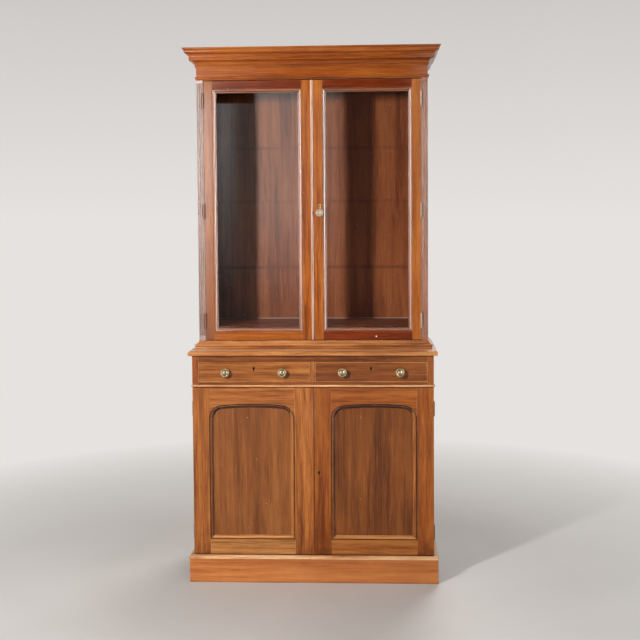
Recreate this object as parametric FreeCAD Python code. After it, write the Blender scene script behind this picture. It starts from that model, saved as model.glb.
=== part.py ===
import FreeCAD, Part
import math
import os

from FreeCAD import Vector

# Glazed bookcase in two stages: an upper case with glass doors on a cupboard base with two drawers.
# The origin is on the floor under the middle of the object. X runs to its right, Y to its back, Z up.
# All sizes are in millimetres.

# Base carcass
base_width = 1006.0
base_depth = 450.0
base_side_thickness = 24.0
base_bottom_thickness = 22.0
base_top_thickness = 19.0
base_top_overhang = 16.0
base_top_upper_round = 8.0
base_top_lower_round = 5.0
cupboard_floor_step = 15.0
shelf_thickness = 18.0
shelf_above_floor = 322.0
shelf_setback = 30.0
shelf_end_gap = 0.5
bearer_width = 20.0
bearer_height = 20.0

# Joinery shared by both stages
housing_depth = 6.0
back_board_thickness = 12.0
back_rebate = 11.0
back_board_width = 165.0
back_board_chamfer = 2.0
tenon_length = 25.0
tenon_thickness = 8.0
tenon_shoulder = 6.0
rail_tenon_length = 10.0

# Plinth
plinth_height = 100.0
plinth_thickness = 17.0
plinth_back_thickness = 16.0
plinth_moulding_height = 13.0
plinth_moulding_overhang = 3.0
plinth_moulding_nose = 4.0
plinth_moulding_top = 4.0
plinth_moulding_rise = 3.0

# Drawer stage of the base
waist_rail_height = 20.0
waist_bead_height = 10.0
waist_bead_flat = 0.5
drawer_rail_depth = 60.0
drawer_opening_height = 86.0
drawer_top_rail_height = 26.0
drawer_divider_width = 18.0
side_runner_width = 30.0
centre_runner_width = 80.0
drawer_guide_height = 20.0

# Drawers
drawer_gap = 1.0
drawer_front_thickness = 20.0
drawer_side_thickness = 10.0
drawer_side_height = 77.0
drawer_side_gap = 1.0
drawer_run_gap = 0.3
drawer_length = 420.0
drawer_back_drop = 5.0
drawer_bottom_thickness = 6.0
drawer_bottom_rise = 8.0
drawer_groove = 5.0
cock_bead_width = 4.0
cock_bead_depth = 9.5
cock_bead_shoulder = 0.5
dovetail_length = 10.0
dovetail_root = 13.0
dovetail_flare = 2.5
dovetail_count = 3

# Upper case
case_inset = 18.0
case_setback = 90.0
case_side_thickness = 22.0
case_bottom_thickness = 22.0
case_top_thickness = 22.0
case_top_drop = 18.0
case_floor_step = 59.0
case_base_rail_thickness = 22.0
case_shelf_low = 229.0
case_shelf_middle = 538.0
case_shelf_high = 779.0
case_bearer_height = 18.0
pilaster_width = 28.0
flute_count = 3
flute_width = 6.6
flute_depth = 3.0
flute_pitch = 8.9
flute_foot_margin = 18.0
flute_head_margin = 12.0
frieze_height = 130.0
frieze_bead_height = 10.0
frieze_bead_offset = 4.0
frieze_bead_flat = 1.0

# Moulding round the foot of the upper case
foot_plinth_height = 9.0
foot_plinth_projection = 15.5
foot_torus_height = 11.0
foot_torus_seat = 12.0
foot_cove_height = 14.0
foot_cove_seat = 11.0
foot_cove_rise = 2.0
foot_top_flat = 1.5

# Cornice members, from the frieze up
cornice_bed_height = 5.0
cornice_bed_depth = 2.0
cornice_bead_height = 7.0
cornice_cove_seat = 4.0
cornice_cove_height = 17.0
cornice_cove_depth = 15.5
cornice_cove_rise = 4.0
cornice_drip_height = 3.0
cornice_drip_depth = 7.5
cornice_fascia_height = 11.0
cornice_hollow_height = 12.0
cornice_hollow_depth = 4.0
cornice_hollow_rise = 1.4
cornice_quirk_height = 2.0
cornice_quirk_depth = 6.5
cornice_crown_height = 19.0
cornice_crown_depth = 13.5
cornice_crown_rise = 1.9
cornice_fillet = 5.0

# All four doors
door_thickness = 22.0
door_gap = 1.5
meeting_bead_width = 11.5
meeting_bead_rise = 4.0

# Glazed doors
upper_door_height = 1091.0
upper_door_foot_gap = 3.0
upper_door_head_gap = 4.0
upper_stile_width = 37.0
upper_head_rail = 34.0
upper_foot_rail = 35.0
glazing_moulding_width = 15.0
glazing_quirk_width = 1.5
glazing_quirk_depth = 3.0
glazing_face_depth = 1.0
glazing_fillet = 2.0
glazing_ovolo = 8.0
glazing_ovolo_rise = 2.3
glass_thickness = 3.0
glass_depth = 12.0
glass_edge_gap = 5.0
glazing_bead_width = 10.0
glazing_bead_chamfer = 3.0

# Cupboard doors
lower_door_height = 703.0
lower_door_foot_gap = 3.0
lower_door_head_gap = 3.0
lower_stile_width = 70.0
lower_head_rail = 67.0
lower_foot_rail = 62.0
stile_cut_in = 1.0
shoulder_radius = 58.0
arch_radius = 1300.0
panel_recess = 10.0
panel_thickness = 8.0
panel_tongue = 8.0
panel_float = 0.5
panel_moulding_width = 18.0
panel_quirk_width = 5.0
panel_quirk_depth = 6.0
panel_face_depth = 1.0
panel_fillet = 2.0
panel_ovolo = 7.5
panel_ovolo_rise = 2.2

# Butt hinges
hinge_length = 62.0
hinge_barrel_radius = 3.5
hinge_pin_radius = 1.5
hinge_pin_clearance = 0.05
hinge_leaf_thickness = 1.5
hinge_leaf_depth = 21.0
hinge_leaf_clearance = 0.15
hinge_barrel_clearance = 0.3
upper_hinge_inset = 50.0
upper_hinge_proud = 3.0
lower_hinge_inset = 60.0
lower_hinge_proud = 1.5

# Drawer knobs
knob_projection = 28.0
knob_radius = 17.3
knob_flange_radius = 12.0
knob_flange_height = 2.5
knob_neck_radius = 6.0
knob_neck_height = 9.0
knob_rim_height = 3.0
knob_dish_radius = 13.8
knob_dish_depth = 2.0
knob_button_radius = 10.0
knob_dome_rise = 4.0
knob_shank_radius = 3.0
knob_shank_length = 26.0
knob_hole_clearance = 0.2
knob_nut_radius = 6.0
knob_nut_height = 5.0
knob_end_distance = 115.0

# Turn knob and its latch tongue on the right glazed door
turn_knob_radius = 15.3
turn_knob_height = 537.0
turn_knob_edge_distance = 25.0
turn_spindle_radius = 4.0
turn_spindle_clearance = 0.05
turn_knob_face_gap = 0.3
latch_gap = 0.5
latch_thickness = 3.0
latch_width = 9.0
latch_length = 42.0

# Locks
keyhole_radius = 3.0
keyhole_slot_width = 3.4
keyhole_slot_length = 9.0
keyhole_liner = 2.2
keyhole_liner_depth = 4.0
keyhole_liner_proud = 0.4
lock_case_depth = 10.0
lock_case_width = 34.0
lock_case_height = 50.0
lock_case_drop = 15.0
drawer_lock_width = 56.0
drawer_lock_height = 34.0
drawer_lock_drop = 22.0
drawer_key_drop = 25.0
cupboard_key_height = 349.0
cupboard_key_edge_distance = 18.5
case_key_above_knob = 30.0
case_escutcheon_margin = 3.0
case_escutcheon_thickness = 1.2

# Working margin for cutting shapes that run past what they cut
past = 5.0

# Depth planes
back = (base_depth + knob_projection) / 2
front = back - base_depth
case_front = front + case_setback
back_inside = back - back_board_thickness
base_stop = front + door_thickness + door_gap
case_stop = case_front + door_thickness + door_gap

# Half widths
base_half = base_width / 2
base_inner = base_half - base_side_thickness
case_half = base_half - case_inset
case_inner = case_half - case_side_thickness
pilaster_inner = case_half - pilaster_width
frame_meeting = (meeting_bead_width + door_gap) / 2

# Height levels of the base
plinth_top = plinth_height + plinth_moulding_height
cupboard_floor = plinth_top + cupboard_floor_step
cupboard_floor_under = cupboard_floor - base_bottom_thickness
lower_foot = plinth_top + lower_door_foot_gap
lower_head = lower_foot + lower_door_height
waist = lower_head + lower_door_head_gap
drawer_floor = waist + waist_rail_height
drawer_head = drawer_floor + drawer_opening_height
base_top_under = drawer_head + drawer_top_rail_height
base_top = base_top_under + base_top_thickness

# Height levels of the upper case
foot_moulding_height = foot_plinth_height + foot_torus_height + foot_cove_height
foot_moulding_top = base_top + foot_moulding_height
case_floor = foot_moulding_top + case_floor_step
upper_foot = foot_moulding_top + upper_door_foot_gap
upper_head = upper_foot + upper_door_height
frieze_foot = upper_head + upper_door_head_gap
top = frieze_foot + frieze_height
case_top_under = frieze_foot - case_top_drop

# Cornice height as the sum of its members
cornice_height = (cornice_bed_height + cornice_bead_height + cornice_cove_height + cornice_drip_height
                  + cornice_fascia_height + cornice_hollow_height + cornice_quirk_height
                  + cornice_crown_height + cornice_fillet)

# Right-hand glazed door: its frame and the opening inside the frame
upper_inner_x = frame_meeting
upper_outer_x = pilaster_inner - door_gap
sash_left = upper_inner_x + upper_stile_width
sash_right = upper_outer_x - upper_stile_width
sash_foot = upper_foot + upper_foot_rail
sash_head = upper_head - upper_head_rail

# Right-hand cupboard door: its frame and the arched opening
lower_inner_x = frame_meeting
lower_outer_x = base_half
arch_centre = (lower_inner_x + lower_outer_x) / 2
arch_half = (lower_outer_x - lower_inner_x) / 2 - lower_stile_width + stile_cut_in
arch_foot = lower_foot + lower_foot_rail
arch_apex = lower_head - lower_head_rail
shoulder_offset = arch_half - shoulder_radius
arch_centre_drop = math.sqrt((arch_radius - shoulder_radius) ** 2 - shoulder_offset ** 2)
arch_spring = arch_apex - arch_radius + arch_centre_drop

# Hinge axes on the right-hand side and the feet of the hinges
upper_axis_x = pilaster_inner - door_gap / 2
upper_axis_y = case_front - upper_hinge_proud
lower_axis_x = base_half + lower_hinge_proud
lower_axis_y = front + door_thickness + door_gap / 2
upper_hinge_feet = (upper_foot + upper_hinge_inset,
                    (upper_foot + upper_head - hinge_length) / 2,
                    upper_head - upper_hinge_inset - hinge_length)
lower_hinge_feet = (lower_foot + lower_hinge_inset,
                    lower_head - lower_hinge_inset - hinge_length)

# Right-hand drawer
drawer_left = drawer_divider_width / 2 + drawer_gap
drawer_right = base_inner - drawer_gap
drawer_centre = (drawer_left + drawer_right) / 2
drawer_foot = drawer_floor + drawer_gap
drawer_crown = drawer_head - drawer_gap
drawer_front_back = front + drawer_front_thickness
drawer_end = front + drawer_length
drawer_bottom_under = drawer_floor + drawer_bottom_rise
drawer_bottom_top = drawer_bottom_under + drawer_bottom_thickness
drawer_key_height = drawer_crown - drawer_key_drop

# Places of the turn knob and of the door keyholes
turn_x = upper_inner_x + turn_knob_edge_distance
turn_z = upper_foot + turn_knob_height
case_key_z = turn_z + case_key_above_knob
cupboard_key_x = lower_inner_x + cupboard_key_edge_distance
cupboard_key_z = lower_foot + cupboard_key_height


# A straight board between two corners
def board(x0, x1, y0, y1, z0, z1):
    return Part.makeBox(x1 - x0, y1 - y0, z1 - z0, Vector(x0, y0, z0))


# The same shape on the other side of the object's middle plane
def mirrored(shape):
    return shape.mirror(Vector(0, 0, 0), Vector(1, 0, 0))


# A face from a list of points. A third number makes the stretch that ends at the point an arc,
# and gives how far the arc rises to the left of its chord.
def outlined_face(points, place):
    edges = []
    for start, end in zip(points, points[1:] + points[:1]):
        run = end[0] - start[0]
        climb = end[1] - start[1]
        first = place(start[0], start[1])
        last = place(end[0], end[1])
        if len(end) == 3:
            share = end[2] / math.hypot(run, climb)
            middle = place(start[0] + run / 2 - climb * share, start[1] + climb / 2 + run * share)
            edges.append(Part.Arc(first, middle, last).toShape())
        else:
            edges.append(Part.makeLine(first, last))
    return Part.Face(Part.Wire(edges))


# Straight lengths with an outlined section, along each axis
def length_along_x(points, x0, x1):
    section = outlined_face(points, lambda y, z: Vector(x0, y, z))
    return section.extrude(Vector(x1 - x0, 0, 0))


def length_along_y(points, y0, y1):
    section = outlined_face(points, lambda x, z: Vector(x, y0, z))
    return section.extrude(Vector(0, y1 - y0, 0))


def length_along_z(points, z0, z1):
    section = outlined_face(points, lambda x, y: Vector(x, y, z0))
    return section.extrude(Vector(0, 0, z1 - z0))


# A round peg along Y
def peg(x, z, radius, y0, y1):
    return Part.makeCylinder(radius, y1 - y0, Vector(x, y0, z), Vector(0, 1, 0))


# Front length and two side returns of a moulding, mitred at the front corners.
# The profile is in projection and height.
def surround(profile, half_width, front_plane):
    extent = outlined_face(profile, lambda p, z: Vector(p, 0, z)).BoundBox
    reach = extent.XMax + past
    low = extent.ZMin - past
    high = extent.ZMax + past
    outer = half_width + reach
    nose = front_plane - reach
    front_section = outlined_face(profile, lambda p, z: Vector(-outer, front_plane - p, z))
    front_plan = [(-outer, nose), (outer, nose), (half_width, front_plane), (-half_width, front_plane)]
    front_bar = front_section.extrude(Vector(2 * outer, 0, 0))
    front_length = front_bar.common(length_along_z(front_plan, low, high))
    side_section = outlined_face(profile, lambda p, z: Vector(half_width + p, nose, z))
    side_plan = [(outer, nose), (outer, back), (half_width, back), (half_width, front_plane)]
    side_bar = side_section.extrude(Vector(0, back - nose, 0))
    side_length = side_bar.common(length_along_z(side_plan, low, high))
    return [front_length, side_length, mirrored(side_length)]


# Four mitred lengths inside a rectangle. The profile is in distance from the rectangle's edge and in Y.
def mitred_frame(profile, x0, x1, z0, z1):
    extent = outlined_face(profile, lambda u, y: Vector(u, y, 0)).BoundBox
    width = extent.XMax + past
    low = extent.YMin - past
    high = extent.YMax + past
    across = Vector(x1 - x0, 0, 0)
    upright = Vector(0, 0, z1 - z0)
    lengths = [
        (lambda u, y: Vector(x0, y, z0 + u), across, [(x0, z0), (x1, z0), (x1 - width, z0 + width),
                                                      (x0 + width, z0 + width)]),
        (lambda u, y: Vector(x0, y, z1 - u), across, [(x0, z1), (x1, z1), (x1 - width, z1 - width),
                                                      (x0 + width, z1 - width)]),
        (lambda u, y: Vector(x0 + u, y, z0), upright, [(x0, z0), (x0, z1), (x0 + width, z1 - width),
                                                       (x0 + width, z0 + width)]),
        (lambda u, y: Vector(x1 - u, y, z0), upright, [(x1, z0), (x1, z1), (x1 - width, z1 - width),
                                                       (x1 - width, z0 + width)]),
    ]
    solids = []
    for place, run, mitre in lengths:
        bar = outlined_face(profile, place).extrude(run)
        solids.append(bar.common(length_along_y(mitre, low, high)))
    return solids


# Half-round bead standing out from a face, on a short flat
def half_round(foot, height, flat):
    return [(0, foot), (flat, foot), (flat, foot + height, -height / 2), (0, foot + height)]


# Vertical back boards side by side, with their outer edges chamfered
def back_boards(half_width, z0, z1):
    count = math.ceil(2 * half_width / back_board_width)
    pitch = 2 * half_width / count
    solids = []
    for number in range(count):
        x0 = -half_width + number * pitch
        x1 = x0 + pitch
        plan = [(x0, back_inside), (x1, back_inside), (x1, back - back_board_chamfer),
                (x1 - back_board_chamfer, back), (x0 + back_board_chamfer, back),
                (x0, back - back_board_chamfer)]
        solids.append(length_along_z(plan, z0, z1))
    return solids


# A rail with a stub tenon at each end, for the front of the base
def tenoned_rail(z0, z1):
    rail = board(-base_inner, base_inner, front, front + drawer_rail_depth, z0, z1)
    return rail.fuse(rail_tenon(z0, z1)).removeSplitter()


def rail_tenon(z0, z1):
    reach = base_inner + rail_tenon_length
    return board(-reach, reach, front + tenon_shoulder, front + drawer_rail_depth - tenon_shoulder,
                 z0 + tenon_shoulder, z1 - tenon_shoulder)


# Butt hinge about a vertical axis at the origin. The leaves run along +Y, the frame's leaf on the +X side.
def hinge_barrel(z0, z1, radius):
    return Part.makeCylinder(radius, z1 - z0, Vector(0, 0, z0))


def hinge_leaf(z0, z1, y0, y1):
    return board(hinge_leaf_clearance, hinge_leaf_clearance + hinge_leaf_thickness, y0, y1, z0, z1)


def frame_hinge_half():
    knuckle = hinge_length / 3
    clear = hinge_barrel_radius + hinge_barrel_clearance
    leaf = hinge_leaf(0, hinge_length, clear, hinge_leaf_depth)
    pin = hinge_barrel(0, hinge_length, hinge_pin_radius)
    halves = [pin]
    for z0 in (0, 2 * knuckle):
        halves.append(hinge_barrel(z0, z0 + knuckle, hinge_barrel_radius))
        halves.append(hinge_leaf(z0, z0 + knuckle, 0, clear))
    return leaf.fuse(halves).removeSplitter()


def door_hinge_half():
    z0 = hinge_length / 3 + hinge_barrel_clearance
    z1 = 2 * hinge_length / 3 - hinge_barrel_clearance
    clear = hinge_barrel_radius + hinge_barrel_clearance
    leaf = mirrored(hinge_leaf(0, hinge_length, clear, hinge_leaf_depth))
    web = mirrored(hinge_leaf(z0, z1, 0, clear))
    knuckle = leaf.fuse([web, hinge_barrel(z0, z1, hinge_barrel_radius)])
    bore = hinge_barrel(z0 - past, z1 + past, hinge_pin_radius + hinge_pin_clearance)
    return knuckle.cut(bore).removeSplitter()


# The room that a hinge needs in the wood on the frame's side
def frame_hinge_room():
    depth = hinge_leaf_clearance + hinge_leaf_thickness
    recess = board(0, depth, -past, hinge_leaf_depth, 0, hinge_length)
    clear = hinge_barrel_radius + hinge_barrel_clearance
    return recess.fuse(hinge_barrel(-hinge_barrel_clearance, hinge_length + hinge_barrel_clearance, clear))


def door_hinge_room():
    return mirrored(frame_hinge_room())


# A hinge piece at each of the right-hand hinge places
def at_upper_hinges(shape):
    placed = []
    for foot in upper_hinge_feet:
        copy = shape.copy()
        copy.translate(Vector(upper_axis_x, upper_axis_y, foot))
        placed.append(copy)
    return placed


def at_lower_hinges(shape):
    placed = []
    for foot in lower_hinge_feet:
        copy = shape.copy()
        copy.rotate(Vector(0, 0, 0), Vector(0, 0, 1), 90)
        copy.translate(Vector(lower_axis_x, lower_axis_y, foot))
        placed.append(copy)
    return placed


# Keyhole: a round hole over a slot, grown all round by a margin
def keyhole(x, z, y0, y1, grow=0.0):
    half = keyhole_slot_width / 2 + grow
    slot = board(x - half, x + half, y0, y1, z - keyhole_slot_length - grow, z)
    return peg(x, z, keyhole_radius + grow, y0, y1).fuse(slot).removeSplitter()


def keyhole_liner_ring(x, z, face):
    outer = keyhole(x, z, face - keyhole_liner_proud, face + keyhole_liner_depth, keyhole_liner)
    return outer.cut(keyhole(x, z, face - past, face + keyhole_liner_depth + past))


# The hole that the wood needs for a lined keyhole
def lined_keyhole_room(x, z, face, depth):
    seat = keyhole(x, z, face - past, face + keyhole_liner_depth, keyhole_liner)
    return seat.fuse(keyhole(x, z, face - past, face + depth + past))


# Turned brass knob on a face that looks along -Y. The outline is in radius and height from the face.
def turned_knob(x, z, face, scale):
    rim_foot = knob_projection - knob_rim_height - knob_dome_rise
    dome_chord = math.hypot(knob_button_radius, knob_dome_rise)
    dome_radius = dome_chord ** 2 / (2 * knob_dome_rise)
    dome_bulge = dome_radius - math.sqrt(dome_radius ** 2 - dome_chord ** 2 / 4)
    outline = [(0, 0), (knob_flange_radius, 0), (knob_flange_radius, knob_flange_height),
               (knob_neck_radius, knob_flange_height + knob_dish_depth),
               (knob_neck_radius, knob_neck_height),
               (knob_radius, rim_foot, knob_dish_depth),
               (knob_radius, rim_foot + knob_rim_height, -knob_rim_height / 3),
               (knob_dish_radius, rim_foot + knob_rim_height),
               (knob_button_radius, rim_foot + knob_rim_height - knob_dish_depth),
               (knob_button_radius, rim_foot + knob_rim_height),
               (0, knob_projection, -dome_bulge)]
    section = outlined_face(outline, lambda r, d: Vector(x + r * scale, face - d * scale, z))
    return section.revolve(Vector(x, 0, z), Vector(0, 1, 0), 360)


# Base carcass
def base_side_right():
    outline = [(front, 0), (back, 0), (back, base_top_under), (front, base_top_under), (front, waist),
               (base_stop, waist), (base_stop, plinth_top), (front, plinth_top)]
    side = length_along_x(outline, base_inner, base_half)
    rebate = board(base_inner - past, base_inner + back_rebate, back_inside, back + past,
                   cupboard_floor_under, base_top_under + past)
    cuts = [rebate, base_bottom_board()[0], rail_tenon(waist, drawer_floor),
            rail_tenon(drawer_head, base_top_under)]
    return [side.cut(cuts + at_lower_hinges(frame_hinge_room()))]


def base_side_left():
    return [mirrored(base_side_right()[0])]


def base_bottom_board():
    outline = [(front, cupboard_floor_under), (back_inside, cupboard_floor_under),
               (back_inside, cupboard_floor), (base_stop, cupboard_floor),
               (base_stop, plinth_top), (front, plinth_top)]
    return [length_along_x(outline, -base_inner - housing_depth, base_inner + housing_depth)]


def base_back_boards():
    return back_boards(base_inner + back_rebate, cupboard_floor_under, base_top_under)


def base_top_board():
    upper = base_top_upper_round
    lower = base_top_lower_round
    upper_rise = upper * (1 - math.sqrt(0.5))
    lower_rise = lower * (1 - math.sqrt(0.5))
    profile = [(0, base_top_under), (base_top_overhang - lower, base_top_under),
               (base_top_overhang, base_top_under + lower, -lower_rise),
               (base_top_overhang, base_top - upper),
               (base_top_overhang - upper, base_top, -upper_rise), (0, base_top)]
    middle = board(-base_half, base_half, front, back, base_top_under, base_top)
    return [middle.fuse(surround(profile, base_half, front)).removeSplitter()]


def plinth_boards():
    profile = [(0, 0), (plinth_thickness, 0), (plinth_thickness, plinth_height), (0, plinth_height)]
    rear = board(-base_inner, base_inner, back_inside - plinth_back_thickness, back_inside,
                 0, cupboard_floor_under)
    return surround(profile, base_half, front) + [rear]


def plinth_moulding():
    reach = plinth_thickness + plinth_moulding_overhang
    profile = [(0, plinth_height), (reach, plinth_height), (reach, plinth_height + plinth_moulding_nose),
               (plinth_moulding_top, plinth_top, -plinth_moulding_rise), (0, plinth_top)]
    return surround(profile, base_half, front)


def waist_bead():
    profile = half_round(waist, waist_bead_height, waist_bead_flat)
    return surround(profile, base_half, front)


def drawer_bottom_rail():
    return [tenoned_rail(waist, drawer_floor)]


def drawer_top_rail():
    return [tenoned_rail(drawer_head, base_top_under)]


# Front divider between the drawers, and the guide strip behind it
def drawer_divider():
    half = drawer_divider_width / 2
    rail_back = front + drawer_rail_depth
    divider = board(-half, half, front, rail_back, drawer_floor, drawer_head)
    guide = board(-half, half, rail_back, back_inside, drawer_floor, drawer_floor + drawer_guide_height)
    return [divider, guide]


# Strips that the drawer sides run on, and the strips above that keep the drawers level
def drawer_runners():
    rail_back = front + drawer_rail_depth
    half = centre_runner_width / 2
    solids = []
    for z0, z1 in ((waist, drawer_floor), (drawer_head, base_top_under)):
        side = board(base_inner - side_runner_width, base_inner, rail_back, back_inside, z0, z1)
        centre = board(-half, half, rail_back, back_inside, z0, z1)
        solids += [side, mirrored(side), centre]
    return solids


def base_shelf():
    half = base_inner - shelf_end_gap
    z0 = cupboard_floor + shelf_above_floor
    return [board(-half, half, base_stop + shelf_setback, back_inside - shelf_end_gap,
                  z0, z0 + shelf_thickness)]


def base_shelf_bearers():
    z1 = cupboard_floor + shelf_above_floor
    bearer = board(base_inner - bearer_width, base_inner, base_stop + shelf_setback, back_inside,
                   z1 - bearer_height, z1)
    return [bearer, mirrored(bearer)]


# Upper case
def case_side_right():
    side = board(case_inner, case_half, case_stop, back, base_top, top)
    rebate = board(case_inner - past, case_inner + back_rebate, back_inside, back + past,
                   base_top - past, top + past)
    return [side.cut([rebate, case_bottom_board()[0], case_top_board()[0]])]


def case_side_left():
    return [mirrored(case_side_right()[0])]


def case_bottom_board():
    half = case_inner + housing_depth
    return [board(-half, half, case_stop, back_inside, case_floor - case_bottom_thickness, case_floor)]


def case_top_board():
    half = case_inner + housing_depth
    return [board(-half, half, case_stop, back_inside, case_top_under, case_top_under + case_top_thickness)]


def case_back_boards():
    return back_boards(case_inner + back_rebate, base_top, top)


# One flute as a round-ended cutter whose axis stands in front of the pilaster's face
def flute(x):
    radius = (flute_width ** 2 / 4 + flute_depth ** 2) / (2 * flute_depth)
    y = case_front - radius + flute_depth
    z0 = foot_moulding_top + flute_foot_margin + radius
    z1 = frieze_foot - flute_head_margin - radius
    rise = radius * (1 - math.sqrt(0.5))
    outline = [(0, z0 - radius), (radius, z0, -rise), (radius, z1), (0, z1 + radius, -rise)]
    section = outlined_face(outline, lambda r, z: Vector(x + r, y, z))
    return section.revolve(Vector(x, y, 0), Vector(0, 0, 1), 360)


def pilaster_right():
    centre = case_half - pilaster_width / 2
    first = centre - flute_pitch * (flute_count - 1) / 2
    flutes = [flute(first + flute_pitch * number) for number in range(flute_count)]
    post = board(pilaster_inner, case_half, case_front, case_stop, base_top, frieze_foot)
    return [post.cut(flutes + at_upper_hinges(frame_hinge_room()))]


def pilaster_left():
    return [mirrored(pilaster_right()[0])]


# Rail under the glazed doors, stepped behind them to carry the case floor
def case_base_rail():
    floor_under = case_floor - case_bottom_thickness
    rail_back = case_stop + case_base_rail_thickness
    outline = [(case_front, base_top), (rail_back, base_top), (rail_back, floor_under),
               (case_stop, floor_under), (case_stop, foot_moulding_top), (case_front, foot_moulding_top)]
    return [length_along_x(outline, -pilaster_inner, pilaster_inner)]


def case_base_moulding():
    torus_foot = base_top + foot_plinth_height
    torus_head = torus_foot + foot_torus_height
    profile = [(0, base_top), (foot_plinth_projection, base_top), (foot_plinth_projection, torus_foot),
               (foot_torus_seat, torus_foot), (foot_torus_seat, torus_head, -foot_torus_height / 2),
               (foot_cove_seat, torus_head), (foot_top_flat, foot_moulding_top, foot_cove_rise),
               (0, foot_moulding_top)]
    return surround(profile, case_half, case_front)


def frieze_board():
    return [board(-case_half, case_half, case_front, case_stop, frieze_foot, top)]


def frieze_bead():
    profile = half_round(frieze_foot + frieze_bead_offset, frieze_bead_height, frieze_bead_flat)
    return surround(profile, case_half, case_front)


def cornice_moulding():
    bed_foot = top - cornice_height
    bead_foot = bed_foot + cornice_bed_height
    cove_foot = bead_foot + cornice_bead_height
    cove_head = cove_foot + cornice_cove_height
    cove_edge = cornice_cove_seat + cornice_cove_depth
    drip_edge = cove_edge + cornice_drip_depth
    fascia_foot = cove_head + cornice_drip_height
    fascia_head = fascia_foot + cornice_fascia_height
    hollow_edge = drip_edge + cornice_hollow_depth
    hollow_head = fascia_head + cornice_hollow_height
    crown_seat = hollow_edge + cornice_quirk_depth
    crown_foot = hollow_head + cornice_quirk_height
    crown_edge = crown_seat + cornice_crown_depth
    crown_head = top - cornice_fillet
    crown_turn = (crown_seat + cornice_crown_depth / 2, (crown_foot + crown_head) / 2, -cornice_crown_rise)
    profile = [(0, bed_foot), (cornice_bed_depth, bed_foot), (cornice_bed_depth, bead_foot),
               (cornice_bed_depth, cove_foot, -cornice_bead_height / 2), (cornice_cove_seat, cove_foot),
               (cove_edge, cove_head, cornice_cove_rise), (drip_edge, fascia_foot),
               (drip_edge, fascia_head), (hollow_edge, hollow_head, cornice_hollow_rise),
               (crown_seat, crown_foot), crown_turn, (crown_edge, crown_head, cornice_crown_rise),
               (crown_edge, top), (0, top)]
    return surround(profile, case_half, case_front)


def case_shelf_bearers():
    solids = []
    for level in (case_shelf_low, case_shelf_middle, case_shelf_high):
        z1 = case_floor + level
        bearer = board(case_inner - bearer_width, case_inner, case_stop, back_inside,
                       z1 - case_bearer_height, z1)
        solids += [bearer, mirrored(bearer)]
    return solids


# Hinge halves on the carcass, with their pins
def upper_hinges():
    halves = at_upper_hinges(frame_hinge_half())
    return halves + [mirrored(half) for half in halves]


def lower_hinges():
    halves = at_lower_hinges(frame_hinge_half())
    return halves + [mirrored(half) for half in halves]


# Two stiles and two rails, tenoned together
def joined_frame(x0, x1, face, z0, z1, stile, foot_rail, head_rail):
    rear = face + door_thickness
    tenon_face = face + (door_thickness - tenon_thickness) / 2
    tenon_rear = tenon_face + tenon_thickness
    stiles = [board(x0, x0 + stile, face, rear, z0, z1), board(x1 - stile, x1, face, rear, z0, z1)]
    rails = []
    for low, high in ((z0, z0 + foot_rail), (z1 - head_rail, z1)):
        rail = board(x0 + stile, x1 - stile, face, rear, low, high)
        tenon = board(x0 + stile - tenon_length, x1 - stile + tenon_length, tenon_face, tenon_rear,
                      low + tenon_shoulder, high - tenon_shoulder)
        rails.append(rail.fuse(tenon).removeSplitter())
        stiles = [post.cut(tenon) for post in stiles]
    return stiles + rails


# Half-round strip on the meeting edge of a left-hand door
def meeting_bead(face, z0, z1):
    x0 = -frame_meeting
    x1 = x0 + meeting_bead_width
    plan = [(x0, face), (x1, face, -meeting_bead_rise), (x1, face + door_thickness),
            (x0, face + door_thickness)]
    return [length_along_z(plan, z0, z1)]


# Glazed doors
def upper_frame():
    pieces = joined_frame(upper_inner_x, upper_outer_x, case_front, upper_foot, upper_head,
                          upper_stile_width, upper_foot_rail, upper_head_rail)
    meeting, hanging, foot, head = pieces
    return [meeting, hanging.cut(at_upper_hinges(door_hinge_room())), foot, head]


def upper_right_frame():
    meeting, hanging, foot, head = upper_frame()
    rear = case_front + door_thickness
    spindle_hole = peg(turn_x, turn_z, turn_spindle_radius + turn_spindle_clearance,
                       case_front - past, rear + past)
    key_hole = keyhole(turn_x, case_key_z, case_front - past, rear + past)
    return [meeting.cut([spindle_hole, key_hole]), hanging, foot, head]


def upper_left_frame():
    return [mirrored(piece) for piece in upper_frame()]


def upper_right_moulding():
    edge = glazing_quirk_width + glazing_fillet
    top_face = case_front + glazing_face_depth
    sight = top_face + glazing_ovolo
    seat = case_front + glass_depth
    quirk = case_front + glazing_quirk_depth
    profile = [(0, seat), (glazing_moulding_width, seat), (glazing_moulding_width, sight),
               (edge + glazing_ovolo, sight), (edge, top_face, glazing_ovolo_rise),
               (glazing_quirk_width, top_face), (glazing_quirk_width, quirk), (0, quirk)]
    return mitred_frame(profile, sash_left, sash_right, sash_foot, sash_head)


def upper_right_glass():
    gap = glass_edge_gap
    face = case_front + glass_depth
    return [board(sash_left + gap, sash_right - gap, face, face + glass_thickness,
                  sash_foot + gap, sash_head - gap)]


def upper_right_glazing_beads():
    seat = case_front + glass_depth + glass_thickness
    rear = case_front + door_thickness
    slope = glazing_bead_width - glazing_bead_chamfer
    profile = [(0, seat), (glazing_bead_width, seat), (glazing_bead_width, rear - glazing_bead_chamfer),
               (slope, rear), (0, rear)]
    return mitred_frame(profile, sash_left, sash_right, sash_foot, sash_head)


def upper_right_hinge_leaves():
    return at_upper_hinges(door_hinge_half())


def upper_left_meeting_bead():
    return meeting_bead(case_front, upper_foot, upper_head)


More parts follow.
